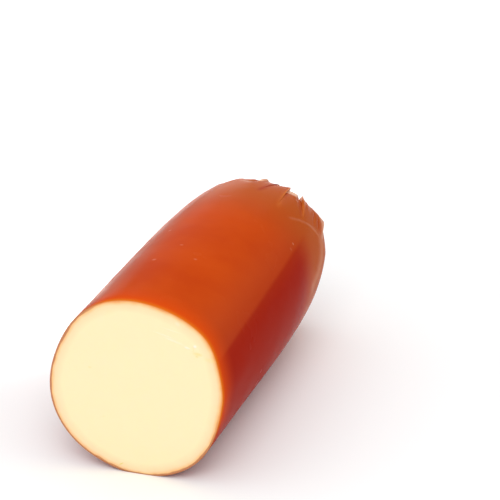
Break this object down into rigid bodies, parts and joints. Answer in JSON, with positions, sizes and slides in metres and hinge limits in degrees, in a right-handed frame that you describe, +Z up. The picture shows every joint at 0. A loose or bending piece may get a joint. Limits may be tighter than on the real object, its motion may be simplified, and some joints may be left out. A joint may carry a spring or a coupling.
{
  "type": "smoked sausage cheese",
  "caption": "Log of smoked processed cheese in a glossy red-orange rind, cut straight across at the front and tapering to a gathered, pleated end behind.",
  "frame": {"origin": "centre of the log's bounding box seen from above, on the surface that the log rests on", "axes": "+Y runs along the log from the cut face to the gathered end, +Z is up, and +X is to the right for someone who faces the cut"},
  "size_m": [0.0686, 0.1592, 0.0701],
  "materials": {
    "rind": "smooth smoked rind, red-orange with a soft gloss; the cut face is pale cream-yellow paste, matte, with a peach tint next to the rind"
  },
  "bodies": {
    "root": {"cheese_log": "rind"}
  },
  "joints": []
}
